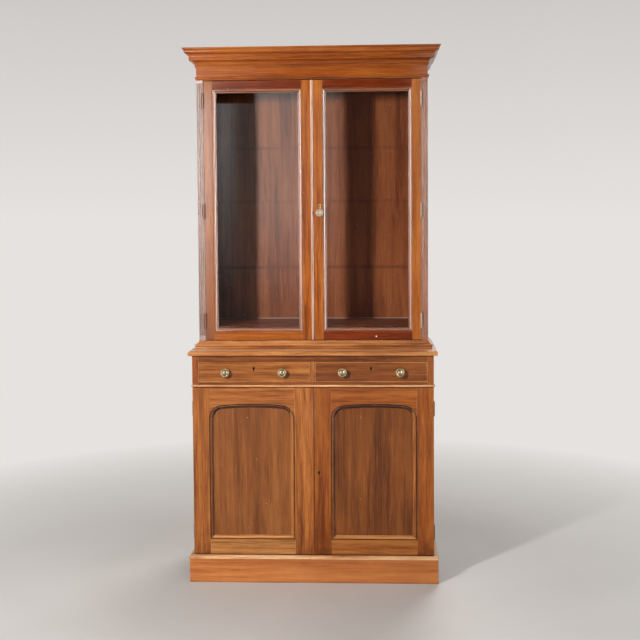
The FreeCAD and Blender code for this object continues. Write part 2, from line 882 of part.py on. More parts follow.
def upper_lock():
    rear = case_front + door_thickness
    half = lock_case_width / 2
    z0 = case_key_z - lock_case_drop
    case = board(turn_x - half, turn_x + half, rear, rear + lock_case_depth, z0, z0 + lock_case_height)
    plate = keyhole(turn_x, case_key_z, case_front - case_escutcheon_thickness, case_front,
                    case_escutcheon_margin)
    return [case, plate.cut(keyhole(turn_x, case_key_z, case_front - past, case_front + past))]


# Turn knob on its spindle, and the latch tongue that hangs down at rest
def upper_knob():
    face = case_front - turn_knob_face_gap
    latch_face = case_front + door_thickness + latch_gap
    knob = turned_knob(turn_x, turn_z, face, turn_knob_radius / knob_radius)
    spindle = peg(turn_x, turn_z, turn_spindle_radius, face, latch_face)
    half = latch_width / 2
    tongue = board(turn_x - half, turn_x + half, latch_face, latch_face + latch_thickness,
                   turn_z - latch_length, turn_z + half)
    return [knob.fuse(spindle).removeSplitter(), tongue]


# Outline of the cupboard door's arched opening, grown all round by a margin
def arch_outline(grow):
    half = arch_half + grow
    small = shoulder_radius + grow
    large = arch_radius + grow
    touch = shoulder_offset * large / (arch_radius - shoulder_radius)
    touch_z = arch_spring - arch_centre_drop * (1 - large / (arch_radius - shoulder_radius))
    chord = math.hypot(half - touch, touch_z - arch_spring)
    shoulder_rise = small - math.sqrt(small ** 2 - chord ** 2 / 4)
    crown_rise = large - math.sqrt(large ** 2 - touch ** 2)
    points = [(-half, arch_foot - grow), (-half, arch_spring), (-touch, touch_z, shoulder_rise),
              (touch, touch_z, crown_rise), (half, arch_spring, shoulder_rise), (half, arch_foot - grow)]
    return [(arch_centre + point[0],) + point[1:] for point in points]


# Cupboard doors
def lower_frame():
    pieces = joined_frame(lower_inner_x, lower_outer_x, front, lower_foot, lower_head,
                          lower_stile_width, lower_foot_rail, lower_head - arch_spring)
    opening = length_along_y(arch_outline(0), front - past, front + door_thickness + past)
    groove = length_along_y(arch_outline(panel_tongue + panel_float), front + panel_recess,
                            front + panel_recess + panel_thickness)
    meeting, hanging, foot, head = [piece.cut([opening, groove]) for piece in pieces]
    return [meeting, hanging.cut(at_lower_hinges(door_hinge_room())), foot, head]


def lower_right_frame():
    meeting, hanging, foot, head = lower_frame()
    room = lined_keyhole_room(cupboard_key_x, cupboard_key_z, front, door_thickness)
    return [meeting.cut(room), hanging, foot, head]


def lower_left_frame():
    return [mirrored(piece) for piece in lower_frame()]


def lower_right_panel():
    face = front + panel_recess
    return [length_along_y(arch_outline(panel_tongue), face, face + panel_thickness)]


# Moulding round the arched opening: sill, jambs, shoulders and crown
def lower_right_moulding():
    width = panel_moulding_width
    edge = panel_quirk_width + panel_fillet
    top_face = front + panel_face_depth
    sight = top_face + panel_ovolo
    seat = front + panel_recess
    quirk = front + panel_quirk_depth
    profile = [(0, seat), (width, seat), (width, sight), (edge + panel_ovolo, sight),
               (edge, top_face, panel_ovolo_rise), (panel_quirk_width, top_face),
               (panel_quirk_width, quirk), (0, quirk)]
    left = arch_centre - arch_half
    right = arch_centre + arch_half
    low = front - past
    high = front + door_thickness
    sill_bar = outlined_face(profile, lambda u, y: Vector(left, y, arch_foot + u))
    sill_plan = [(left, arch_foot), (right, arch_foot), (right - width, arch_foot + width),
                 (left + width, arch_foot + width)]
    sill = sill_bar.extrude(Vector(right - left, 0, 0)).common(length_along_y(sill_plan, low, high))
    jamb_bar = outlined_face(profile, lambda u, y: Vector(left + u, y, arch_foot))
    jamb_plan = [(left, arch_foot), (left + width, arch_foot + width), (left + width, arch_spring),
                 (left, arch_spring)]
    jamb = jamb_bar.extrude(Vector(0, 0, arch_spring - arch_foot)).common(
        length_along_y(jamb_plan, low, high))
    lean = math.degrees(math.atan2(shoulder_offset, arch_centre_drop))
    shoulder = bent_length(profile, arch_centre - shoulder_offset, arch_spring, shoulder_radius,
                           90 + lean, 90 - lean)
    crown = bent_length(profile, arch_centre, arch_spring - arch_centre_drop, arch_radius,
                        90 - lean, 2 * lean)
    middle = Vector(arch_centre, 0, 0)
    across = Vector(1, 0, 0)
    return [sill, jamb, shoulder, crown, shoulder.mirror(middle, across), jamb.mirror(middle, across)]


# A length of moulding bent to a radius inside an opening, from a start angle through a sweep in degrees
def bent_length(profile, centre_x, centre_z, radius, start, sweep):
    cosine = math.cos(math.radians(start))
    sine = math.sin(math.radians(start))
    section = outlined_face(profile, lambda u, y: Vector(centre_x + (radius - u) * cosine, y,
                                                         centre_z + (radius - u) * sine))
    return section.revolve(Vector(centre_x, 0, centre_z), Vector(0, -1, 0), sweep)


def lower_right_hinge_leaves():
    return at_lower_hinges(door_hinge_half())


def lower_left_meeting_bead():
    return meeting_bead(front, lower_foot, lower_head)


def lower_lock():
    rear = front + door_thickness
    half = lock_case_width / 2
    z0 = cupboard_key_z - lock_case_drop
    case = board(cupboard_key_x - half, cupboard_key_x + half, rear, rear + lock_case_depth,
                 z0, z0 + lock_case_height)
    return [case, keyhole_liner_ring(cupboard_key_x, cupboard_key_z, front)]


# Drawers
def drawer_tails(x0):
    foot = drawer_floor + drawer_run_gap
    pitch = drawer_side_height / dovetail_count
    tip = drawer_front_back - dovetail_length
    tails = []
    for number in range(dovetail_count):
        low = foot + (number + 0.5) * pitch - dovetail_root / 2
        high = low + dovetail_root
        outline = [(drawer_front_back, low), (drawer_front_back, high),
                   (tip, high + dovetail_flare), (tip, low - dovetail_flare)]
        tails.append(length_along_x(outline, x0, x0 + drawer_side_thickness))
    return tails


def drawer_side_places():
    return (drawer_left + drawer_side_gap, drawer_right - drawer_side_gap - drawer_side_thickness)


def drawer_bottom():
    inner = drawer_side_gap + drawer_side_thickness - drawer_groove
    return board(drawer_left + inner, drawer_right - inner, drawer_front_back - drawer_groove, drawer_end,
                 drawer_bottom_under, drawer_bottom_top)


def knob_places():
    return (drawer_left + knob_end_distance, drawer_right - knob_end_distance)


def drawer_knob_height():
    return (drawer_foot + drawer_crown) / 2


def drawer_right_front():
    bead = cock_bead_width
    shoulder = front + cock_bead_depth
    rear = board(drawer_left, drawer_right, shoulder, drawer_front_back, drawer_foot, drawer_crown)
    face = board(drawer_left + bead, drawer_right - bead, front, shoulder,
                 drawer_foot + bead, drawer_crown - bead)
    room = [drawer_bottom(), lined_keyhole_room(drawer_centre, drawer_key_height, front,
                                                drawer_front_thickness)]
    for x in drawer_side_places():
        room += drawer_tails(x)
    for x in knob_places():
        room.append(peg(x, drawer_knob_height(), knob_shank_radius + knob_hole_clearance,
                        front - past, drawer_front_back + past))
    nose = front - cock_bead_shoulder
    profile = [(0, shoulder), (bead, shoulder), (bead, nose), (0, nose, bead / 2)]
    beads = mitred_frame(profile, drawer_left, drawer_right, drawer_foot, drawer_crown)
    return [rear.fuse(face).removeSplitter().cut(room)] + beads


def drawer_right_box():
    foot = drawer_floor + drawer_run_gap
    crown = foot + drawer_side_height
    left, right = drawer_side_places()
    bottom = drawer_bottom()
    solids = []
    for x in (left, right):
        side = board(x, x + drawer_side_thickness, drawer_front_back, drawer_end, foot, crown)
        solids.append(side.fuse(drawer_tails(x)).removeSplitter().cut(bottom))
    rear = board(left + drawer_side_thickness, right, drawer_end - drawer_side_thickness, drawer_end,
                 drawer_bottom_top, crown - drawer_back_drop)
    return solids + [rear, bottom]


def drawer_right_knobs():
    z = drawer_knob_height()
    solids = []
    for x in knob_places():
        shank = peg(x, z, knob_shank_radius, front, front + knob_shank_length)
        nut = peg(x, z, knob_nut_radius, drawer_front_back, drawer_front_back + knob_nut_height)
        nut_hole = peg(x, z, knob_shank_radius + knob_hole_clearance, front, front + knob_shank_length)
        solids += [turned_knob(x, z, front, 1.0).fuse(shank).removeSplitter(), nut.cut(nut_hole)]
    return solids


def drawer_right_lock():
    half = drawer_lock_width / 2
    z0 = drawer_key_height - drawer_lock_drop
    case = board(drawer_centre - half, drawer_centre + half, drawer_front_back,
                 drawer_front_back + lock_case_depth, z0, z0 + drawer_lock_height)
    return [case, keyhole_liner_ring(drawer_centre, drawer_key_height, front)]


# Pieces that have their own form, and pieces that are the mirror image of a right-hand one
made_pieces = [
    base_side_left, base_side_right, base_bottom_board, base_back_boards, base_top_board,
    plinth_boards, plinth_moulding, waist_bead, drawer_bottom_rail, drawer_top_rail,
    drawer_divider, drawer_runners, base_shelf, base_shelf_bearers,
    case_side_left, case_side_right, case_bottom_board, case_top_board, case_back_boards,
    pilaster_left, pilaster_right, case_base_rail, case_base_moulding,
    frieze_board, frieze_bead, cornice_moulding, case_shelf_bearers, upper_hinges, lower_hinges,
    upper_left_frame, upper_left_meeting_bead,
    upper_right_frame, upper_right_moulding, upper_right_glass, upper_right_glazing_beads,
    upper_right_hinge_leaves, upper_lock, upper_knob,
    lower_left_frame, lower_left_meeting_bead,
    lower_right_frame, lower_right_panel, lower_right_moulding, lower_right_hinge_leaves, lower_lock,
    drawer_right_front, drawer_right_box, drawer_right_knobs, drawer_right_lock,
]
mirrored_pieces = [
    upper_right_moulding, upper_right_glass, upper_right_glazing_beads, upper_right_hinge_leaves,
    lower_right_panel, lower_right_moulding, lower_right_hinge_leaves,
    drawer_right_front, drawer_right_box, drawer_right_knobs, drawer_right_lock,
]


# Write each piece under its own name
def write_piece(name, shapes):
    solids = [solid for shape in shapes for solid in shape.Solids]
    Part.makeCompound(solids).exportStep(os.path.join("parts", name + ".step"))


os.makedirs("parts", exist_ok=True)
for maker in made_pieces:
    write_piece(maker.__name__, maker())
for maker in mirrored_pieces:
    write_piece(maker.__name__.replace("_right_", "_left_"), [mirrored(shape) for shape in maker()])
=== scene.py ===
import math

import bmesh
import bpy
from mathutils import Matrix, Vector


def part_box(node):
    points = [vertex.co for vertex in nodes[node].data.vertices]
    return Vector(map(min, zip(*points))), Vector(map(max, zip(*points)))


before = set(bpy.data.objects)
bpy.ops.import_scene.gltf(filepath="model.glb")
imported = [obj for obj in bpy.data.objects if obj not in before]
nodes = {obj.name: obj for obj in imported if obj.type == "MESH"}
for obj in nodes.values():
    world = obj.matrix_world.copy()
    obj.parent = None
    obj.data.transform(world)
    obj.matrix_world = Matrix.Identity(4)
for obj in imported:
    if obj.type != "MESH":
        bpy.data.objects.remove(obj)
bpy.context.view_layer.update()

print("frame loaded:", len(nodes), "nodes")


# colour as the eye reads it, 0 to 255, turned to scene linear
def eye(red, green, blue):
    shades = []
    for level in (red, green, blue):
        c = level / 255
        shades.append(c / 12.92 if c <= 0.04045 else ((c + 0.055) / 1.055) ** 2.4)
    return (*shades, 1.0)


def addObject(name, data):
    made = bpy.data.objects.new(name, data)
    bpy.context.scene.collection.objects.link(made)
    return made


# one node with its inputs: a socket is linked, anything else is set
def put(tree, kind, inputs=None, **settings):
    made = tree.nodes.new(kind)
    for key, value in settings.items():
        setattr(made, key, value)
    for key, value in (inputs or {}).items():
        if isinstance(value, bpy.types.NodeSocket):
            tree.links.new(value, made.inputs[key])
        else:
            made.inputs[key].default_value = value
    return made


def blankMaterial(name):
    material = bpy.data.materials.new(name)
    material.use_nodes = True
    material.node_tree.nodes.clear()
    return material, material.node_tree


def objectPlace(tree):
    return put(tree, "ShaderNodeTexCoord").outputs["Object"]


def maths(tree, operation, first, second=0.0):
    return put(tree, "ShaderNodeMath", {0: first, 1: second}, operation=operation).outputs[0]


def times(tree, first, second):
    return maths(tree, "MULTIPLY", first, second)


# value from low..high to start..end, clamped
def span(tree, value, low, high, start=0.0, end=1.0):
    return put(tree, "ShaderNodeMapRange", {"Value": value, "From Min": low, "From Max": high,
                                            "To Min": start, "To Max": end}).outputs[0]


def noise(tree, vector, scale, detail=3.0, roughness=0.55):
    return put(tree, "ShaderNodeTexNoise", {"Vector": vector, "Scale": scale, "Detail": detail,
                                            "Roughness": roughness}).outputs[0]


# noise between low and high, spread from least to most
def patches(tree, vector, scale, low, high, least=0.0, most=1.0, detail=3.0, roughness=0.55):
    return span(tree, noise(tree, vector, scale, detail, roughness), low, high, least, most)


def ramp(tree, value, stops):
    made = put(tree, "ShaderNodeValToRGB", {"Fac": value})
    elements = made.color_ramp.elements
    while len(elements) < len(stops):
        elements.new(0.5)
    for element, (place, colour) in zip(elements, stops):
        element.position = place
        element.color = colour
    return made.outputs[0]


def tint(tree, factor, below, above):
    return put(tree, "ShaderNodeMix", {0: factor, 6: below, 7: above}, data_type="RGBA").outputs[2]


def bump(tree, height, strength, distance, normal=None):
    inputs = {"Height": height, "Strength": strength, "Distance": distance}
    if normal is not None:
        inputs["Normal"] = normal
    return put(tree, "ShaderNodeBump", inputs).outputs[0]


# 0 shows the first shader, 1 the second
def mixed(tree, factor, first, second):
    return put(tree, "ShaderNodeMixShader", {0: factor, 1: first.outputs[0], 2: second.outputs[0]})


def surfaceIs(tree, shader):
    put(tree, "ShaderNodeOutputMaterial", {"Surface": shader.outputs[0]})


# Camera
cameraSet = {
    "place": (0.240, -4.600, 1.516),
    "yaw": 2.68,
    "pitchDown": 2.97,
    "roll": -0.40,
    "lens": 59.85,
    "sensor": 36.0,
    "shiftY": -0.07,
    "farClip": 100.0,
}


def addCamera():
    data = bpy.data.cameras.new("camera")
    data.lens = cameraSet["lens"]
    data.sensor_width = cameraSet["sensor"]
    data.shift_y = cameraSet["shiftY"]
    data.clip_end = cameraSet["farClip"]
    camera = addObject("camera", data)
    turn = (Matrix.Rotation(math.radians(cameraSet["yaw"]), 4, "Z")
            @ Matrix.Rotation(math.radians(90 - cameraSet["pitchDown"]), 4, "X")
            @ Matrix.Rotation(math.radians(cameraSet["roll"]), 4, "Z"))
    camera.matrix_world = Matrix.Translation(cameraSet["place"]) @ turn
    bpy.context.scene.camera = camera


addCamera()
print("camera placed")


# Lamps, world and floor. The screens do most of the shine, so few lamps show in gloss.
lampSet = {
    "key": {"place": (-1.4, -2.5, 2.0), "aim": (0.0, 0.0, 1.2), "size": (0.22, 0.3),
            "power": 63, "spread": 150, "inGloss": False},
    "leftStrip": {"place": (-2.6, -1.5, 1.5), "aim": (0.0, 0.0, 1.2), "size": (0.12, 2.2),
                  "power": 2, "spread": 180, "inGloss": False},
    "rightStrip": {"place": (2.6, -1.5, 1.5), "aim": (0.0, 0.0, 1.2), "size": (0.12, 2.2),
                   "power": 2, "spread": 180, "inGloss": False},
    "low": {"place": (-0.7, -2.4, 0.35), "aim": (0.0, -0.2, 0.15), "size": (1.8, 0.3),
            "power": 3.2, "spread": 70, "inGloss": False},
    "top": {"place": (0.0, -1.2, 4.4), "aim": (0.0, -0.1, 1.0), "size": (2.6, 1.6),
            "power": 24, "spread": 180, "inGloss": True},
    "back": {"place": (1.0, 3.2, 3.4), "aim": (0.0, 0.0, 1.2), "size": (2.0, 1.6),
             "power": 60, "spread": 120, "inGloss": True},
}
roomSet = {
    "ambient": 0.055,
    "ambientColour": (1.0, 0.985, 0.965, 1.0),
    "wallHigh": eye(202, 199, 196),
    "wallLow": eye(229, 226, 223),
    "wallRise": 0.22,
    "floor": eye(198, 193, 188),
    "floorMark": eye(168, 163, 158),
    "floorClouds": {"scale": 1.3, "low": 0.3, "high": 0.7, "most": 0.3, "detail": 4.0},
    "floorRough": 0.55,
    "floorShine": 0.25,
    "floorRadius": 9.0,
    "floorSides": 128,
    "fadeFrom": 0.9,
    "fadeTo": 2.8,
}


def addLamps():
    for name, lamp in lampSet.items():
        data = bpy.data.lights.new(name, "AREA")
        data.shape = "RECTANGLE"
        data.size, data.size_y = lamp["size"]
        data.energy = lamp["power"]
        data.spread = math.radians(lamp["spread"])
        holder = addObject(name, data)
        holder.location = lamp["place"]
        aim = Vector(lamp["aim"]) - Vector(lamp["place"])
        holder.rotation_euler = aim.to_track_quat("-Z", "Y").to_euler()
        holder.visible_camera = False
        holder.visible_glossy = lamp["inGloss"]


# 1 for a ray of the eye, of gloss or through glass, as long as it met nothing matt on its way
def seenRay(tree):
    path = put(tree, "ShaderNodeLightPath").outputs
    seen = maths(tree, "MAXIMUM", path["Is Camera Ray"], path["Is Glossy Ray"])
    seen = maths(tree, "MAXIMUM", seen, path["Is Transmission Ray"])
    return times(tree, seen, maths(tree, "LESS_THAN", path["Diffuse Depth"], 0.5))


# pale wall where it is seen; plain ambient light for the rest
def addWorld():
    world = bpy.data.worlds.new("studio")
    bpy.context.scene.world = world
    world.use_nodes = True
    tree = world.node_tree
    tree.nodes.clear()
    direction = put(tree, "ShaderNodeTexCoord").outputs["Generated"]
    height = put(tree, "ShaderNodeSeparateXYZ", {0: direction}).outputs["Z"]
    wall = ramp(tree, span(tree, height, 0.0, roomSet["wallRise"]),
                [(0.0, roomSet["wallLow"]), (1.0, roomSet["wallHigh"])])
    shown = put(tree, "ShaderNodeBackground", {"Color": wall, "Strength": 1.0})
    light = put(tree, "ShaderNodeBackground", {"Color": roomSet["ambientColour"],
                                               "Strength": roomSet["ambient"]})
    both = mixed(tree, seenRay(tree), light, shown)
    put(tree, "ShaderNodeOutputWorld", {"Surface": both.outputs[0]})


# wide disc that fades into the wall's colour a little way from the object
def addFloor():
    mesh = bpy.data.meshes.new("floor")
    shape = bmesh.new()
    bmesh.ops.create_circle(shape, cap_ends=True, segments=roomSet["floorSides"],
                            radius=roomSet["floorRadius"])
    shape.to_mesh(mesh)
    shape.free()
    floor = addObject("floor", mesh)
    material, tree = blankMaterial("paleFloor")
    place = objectPlace(tree)
    away = put(tree, "ShaderNodeVectorMath", {0: place}, operation="LENGTH").outputs["Value"]
    clouds = patches(tree, place, **roomSet["floorClouds"])
    ground = put(tree, "ShaderNodeBsdfPrincipled", {
        "Base Color": tint(tree, clouds, roomSet["floor"], roomSet["floorMark"]),
        "Roughness": roomSet["floorRough"], "Specular IOR Level": roomSet["floorShine"]})
    glow = put(tree, "ShaderNodeEmission", {"Color": roomSet["wallLow"], "Strength": 1.0})
    far = times(tree, span(tree, away, roomSet["fadeFrom"], roomSet["fadeTo"]), seenRay(tree))
    surfaceIs(tree, mixed(tree, far, ground, glow))
    material.cycles.emission_sampling = "NONE"
    mesh.materials.append(material)


# The studio round the object, seen only in gloss and glass: a dark room with pale screens.
# Where inPanes is False, the panes mirror the screen as dark, and only polish and brass shine.
screenColour = (1.0, 0.98, 0.96, 1.0)
screenSet = {
    "darkRoom": {"middle": (0.0, -12.6), "turn": 0, "width": 40.0, "z": (-6.0, 18.0), "soft": 4.0,
                 "fade": (0.0, 1.0), "low": 0.06, "high": 0.06, "inPanes": True},
    "leftScreen": {"middle": (-2.9, -12.0), "turn": 0, "width": 1.5, "z": (-0.4, 3.55), "soft": 0.1,
                   "fade": (0.0, 2.4), "low": 5.0, "high": 20.0, "inPanes": False},
    "friezeScreen": {"middle": (-2.0, -12.05), "turn": 0, "width": 1.8, "z": (3.32, 4.4),
                     "soft": 0.5, "fade": (3.2, 3.6), "low": 0.8, "high": 1.6, "inPanes": False},
    "leftEdgeScreen": {"middle": (-2.0, -12.1), "turn": 0, "width": 0.5, "z": (-0.4, 3.55),
                       "soft": 0.22, "fade": (0.4, 2.6), "low": 0.15, "high": 1.1,
                       "inPanes": True},
    "leftDimScreen": {"middle": (-1.85, -12.2), "turn": 0, "width": 0.9, "z": (-1.0, 3.55),
                      "soft": 0.08, "fade": (0.0, 2.2), "low": 0.15, "high": 0.34,
                      "inPanes": True},
    "middleScreen": {"middle": (-0.95, -12.0), "turn": 0, "width": 1.14, "z": (-1.0, 3.5),
                     "soft": 0.09, "fade": (0.2, 1.7), "low": 0.35, "high": 1.5, "inPanes": True},
    "rightDimScreen": {"middle": (-0.32, -12.1), "turn": 0, "width": 0.45, "z": (-1.0, 3.5),
                       "soft": 0.2, "fade": (0.2, 2.2), "low": 0.15, "high": 0.7, "inPanes": True},
    "rightScreen": {"middle": (1.35, -12.0), "turn": 0, "width": 0.7, "z": (-1.0, 5.5),
                    "soft": 0.12, "fade": (0.2, 2.4), "low": 2.0, "high": 4.5, "inPanes": False},
    "leftWing": {"middle": (-2.235, -1.49), "turn": -67, "width": 2.15, "z": (0.1, 3.2),
                 "soft": 0.4, "fade": (0.3, 1.5), "low": 2.6, "high": 7.4, "inPanes": False},
    "rightWing": {"middle": (2.235, -1.49), "turn": 67, "width": 2.15, "z": (0.1, 3.2),
                  "soft": 0.4, "fade": (0.3, 1.5), "low": 4.2, "high": 12.0, "inPanes": False},
}


def addScreens():
    for name, screen in screenSet.items():
        reach = screen["width"] / 2
        low, high = screen["z"]
        corners = [(-reach, 0, low), (reach, 0, low), (reach, 0, high), (-reach, 0, high)]
        mesh = bpy.data.meshes.new(name)
        mesh.from_pydata(corners, [], [(0, 1, 2, 3)])
        card = addObject(name, mesh)
        card.location = (*screen["middle"], 0.0)
        card.rotation_euler.z = math.radians(screen["turn"])
        card.visible_camera = False
        card.visible_diffuse = False
        card.visible_shadow = False
        material, tree = blankMaterial(name)
        place = put(tree, "ShaderNodeSeparateXYZ", {0: objectPlace(tree)}).outputs
        # soft at both ends, paler with height
        cover = times(tree, span(tree, place["X"], -reach, screen["soft"] - reach),
                      span(tree, place["X"], reach - screen["soft"], reach, 1.0, 0.0))
        level = span(tree, place["Z"], *screen["fade"], screen["low"], screen["high"])
        level = times(tree, level, seenRay(tree))
        if not screen["inPanes"]:
            sharp = put(tree, "ShaderNodeLightPath").outputs["Is Singular Ray"]
            level = times(tree, level, maths(tree, "SUBTRACT", 1.0, sharp))
        pale = put(tree, "ShaderNodeEmission", {"Color": screenColour, "Strength": level})
        surfaceIs(tree, mixed(tree, cover, put(tree, "ShaderNodeBsdfTransparent"), pale))
        mesh.materials.append(material)


addLamps()
addWorld()
addFloor()
addScreens()
bpy.context.scene.view_settings.view_transform = "Standard"
print("studio ready")


# Mahogany. The figure of each tone runs from its deepest shade to its palest.
toneSet = {
    "cornice": {"figure": [(94, 38, 10), (128, 60, 18), (154, 77, 24), (180, 102, 40)],
                "streak": 0.8},
    "frame": {"figure": [(94, 42, 12), (136, 68, 22), (168, 92, 31), (190, 112, 46)],
              "streak": 0.85},
    "redRail": {"figure": [(66, 22, 8), (98, 36, 12), (124, 50, 17), (144, 66, 26)],
                "streak": 0.8,
                "marks": [{"place": (0.267, -0.119, 1.024), "radius": 0.0045,
                           "colour": eye(250, 246, 240)}]},
    "lowerFrame": {"figure": [(94, 45, 18), (134, 74, 29), (162, 94, 41), (184, 116, 56)],
                   "streak": 0.9, "scuff": 0.8},
    # a darker copy of lowerFrame for the right door: painted shade, the light falling off to the
    # right
    "lowerFrameDark": {"figure": [(86, 38, 10), (124, 62, 18), (150, 78, 25), (174, 100, 38)],
                       "streak": 0.9, "scuff": 0.8},
    "drawer": {"figure": [(90, 45, 18), (128, 71, 29), (158, 93, 40), (182, 116, 56)],
               "streak": 0.9},
    # a darker copy of drawer for the right drawer front and the drawer rails: painted shade
    "drawerDark": {"figure": [(64, 30, 11), (96, 49, 18), (126, 66, 26), (150, 86, 36)],
                   "streak": 0.9},
    "panel": {"figure": [(84, 46, 26), (112, 64, 34), (134, 80, 41), (152, 96, 51)],
              "streak": 0.7, "coat": 0.25},
    # a darker copy of panel for the right panel: painted shade, the light falling off to the right
    "panelDark": {"figure": [(62, 34, 20), (94, 52, 27), (120, 67, 32), (140, 82, 40)],
                  "streak": 0.75, "coat": 0.25},
    "plinth": {"figure": [(120, 62, 32), (154, 86, 44), (184, 110, 56), (202, 128, 70)],
               "streak": 0.6},
    "edging": {"figure": [(106, 55, 24), (148, 87, 43), (184, 117, 61), (208, 145, 85)],
               "streak": 0.9},
    "bright": {"figure": [(126, 76, 44), (178, 122, 78), (214, 160, 110), (234, 188, 140)],
               "streak": 1.1},
    "leftStile": {"figure": [(74, 32, 12), (108, 52, 20), (134, 72, 28), (154, 90, 42)],
                  "streak": 0.85},
    "pilaster": {"figure": [(84, 42, 24), (130, 70, 42), (158, 93, 60), (180, 116, 80)],
                 "streak": 0.8, "coat": 0.45, "coatIor": 2.0},
    # the left pilaster greyer and paler than the right: in part painted sheen
    "pilasterPale": {"figure": [(72, 40, 30), (104, 66, 50), (130, 88, 72), (154, 112, 94)],
                     "streak": 0.8, "coat": 0.86, "coatIor": 2.0},
    "lowerStile": {"figure": [(78, 33, 8), (110, 52, 13), (134, 67, 18), (156, 88, 30)],
                   "streak": 0.9, "scuff": 0.8},
    "lowerFoot": {"figure": [(96, 54, 24), (138, 88, 42), (164, 106, 55), (186, 128, 72)],
                  "streak": 0.9},
    "sash": {"figure": [(84, 36, 12), (120, 58, 22), (148, 78, 34), (174, 102, 52)],
             "streak": 0.85, "coat": 1.0, "coatIor": 2.0, "wearAndHighlight": 0.5},
    "topBoard": {"figure": [(126, 72, 38), (180, 114, 70), (226, 160, 112), (240, 186, 140)],
                 "streak": 0.9},
    "waist": {"figure": [(132, 80, 46), (184, 124, 78), (222, 162, 112), (240, 192, 144)],
              "streak": 1.0},
    # the meeting bead paler than the frame: in part painted highlight
    "meeting": {"figure": [(150, 98, 64), (160, 108, 78), (188, 136, 104), (208, 162, 130)],
                "streak": 0.9, "coat": 0.6, "coatIor": 2.0,
                # a near-black spot on the bead beside the turn knob
                "marks": [{"place": (0.008, -0.128, 1.546), "radius": 0.009,
                           "colour": eye(24, 11, 6)}]},
    # painted shade: dark copies of the mahogany for the head and the left upright of the arched
    # cupboard mouldings
    "shadedHead": {"figure": [(38, 17, 9), (58, 28, 14), (80, 42, 21), (102, 58, 31)],
               "streak": 0.9, "wearAndHighlight": 1.0},
    "shadedSide": {"figure": [(52, 22, 8), (84, 40, 14), (112, 58, 24), (136, 80, 38)],
                  "streak": 0.9, "wearAndHighlight": 1.0},
    "side": {"figure": [(80, 35, 13), (118, 57, 22), (146, 77, 30), (168, 95, 42)],
             "streak": 1.0},
    "inside": {"figure": [(96, 44, 26), (130, 65, 38), (162, 87, 51), (178, 102, 62)],
               "streak": 0.8, "gloss": 0.6, "shine": 0.15, "coat": 0.0, "wearAndHighlight": 0.0},
    # a darker copy of inside for the case's inner ends and its top and bottom boards: painted shade
    "insideDark": {"figure": [(70, 30, 18), (98, 46, 28), (122, 60, 38), (140, 74, 46)],
                   "streak": 0.8, "gloss": 0.5, "shine": 0.3, "coat": 0.0, "wearAndHighlight": 0.4},
}
# the boards seen through the glass: three dark lines of shelves, and a pale line at the floor that
# is a painted highlight
toneSet["backInside"] = {**toneSet["inside"], "lines": [
    {"z": 1.841, "reach": 0.009, "most": 0.5, "colour": eye(112, 56, 36)},
    {"z": 1.601, "reach": 0.009, "most": 0.5, "colour": eye(112, 56, 36)},
    {"z": 1.302, "reach": 0.010, "most": 0.65, "colour": eye(104, 50, 32)},
    {"z": 1.070, "reach": 0.0034, "most": 0.5, "colour": eye(236, 206, 182)},
]}
polishSet = {  # unless a tone has its own
    "gloss": 0.38,
    "shine": 0.04,
    "coat": 0.5,
    "coatIor": 1.5,
    "wearAndHighlight": 0.7,
    "shadeAmount": 0.8,
}
woodSet = {
    "alongGrain": 0.045,  # the smaller, the longer the figure
    "waver": 0.010,
    "waverScale": 2.6,
    "layers": [  # the last is the finest, and also gives the ridges
        {"noise": {"scale": 15.0, "detail": 3.0, "roughness": 0.5}, "share": 1.5},
        {"noise": {"scale": 62.0, "detail": 4.0, "roughness": 0.6}, "share": 1.4},
        {"noise": {"scale": 240.0, "detail": 3.0, "roughness": 0.6}, "share": 1.2},
    ],
    "figureMiddle": 0.55,
    "figureStops": (0.12, 0.36, 0.58, 0.86),
    "clouds": {"scale": 3.2, "low": 0.35, "high": 0.7, "most": 0.45},
    "pores": {"scale": 820.0, "low": 0.60, "high": 0.72, "most": 0.55, "detail": 2.0},
    "scratches": {"scale": 96.0, "low": 0.765, "high": 0.79, "most": 0.6, "detail": 2.0,
                  "roughness": 0.4},
    "scratchColour": eye(214, 176, 140),
    "scuffs": {"scale": 14.0, "low": 0.38, "high": 0.68},
    "scuffHeight": (0.13, 0.28),
    "lineBreaks": {"scale": 5.0, "low": 0.3, "high": 0.6, "least": 0.3, "detail": 2.0},
    "lineCore": 0.4,
    "markCore": 0.6,
    # painted shade: how far the AO looks, the AO values that darken, and the dark colour laid in
    # corners and under overhangs
    "shadeReach": 0.012,
    "shadeRange": (0.25, 0.8),
    "shadeSamples": 8,
    "paintedShadeColour": eye(38, 17, 10),
    # arrises: pale worn wood, in part a painted highlight along the edges
    "arrisRadius": 0.0022,
    "arrisBend": (0.97, 0.80),
    "arrisOpen": (0.6, 0.9),
    "arrisSamples": 6,
    "arrisPatches": {"scale": 21.0, "low": 0.36, "high": 0.6, "least": 0.35},
    "wornAndHighlightColour": eye(226, 168, 116),
    "glossPatches": {"scale": 9.0, "low": 0.3, "high": 0.7},
    "glossRange": (-0.05, 0.08),
    "ridgeShare": 0.5,
    "poreShare": -0.8,
    "relief": {"strength": 0.12, "distance": 0.0006},
    "filmNoise": {"scale": 34.0, "detail": 2.0},
    "film": {"strength": 0.1, "distance": 0.0008},
    "coatRough": 0.09,
}
axisStretch = {
    "X": (woodSet["alongGrain"], 1, 1),
    "Y": (1, woodSet["alongGrain"], 1),
    "Z": (1, 1, woodSet["alongGrain"]),
}


def alongBoard(tree, vector, axis):
    return put(tree, "ShaderNodeMapping", {"Vector": vector, "Scale": axisStretch[axis]}).outputs[0]


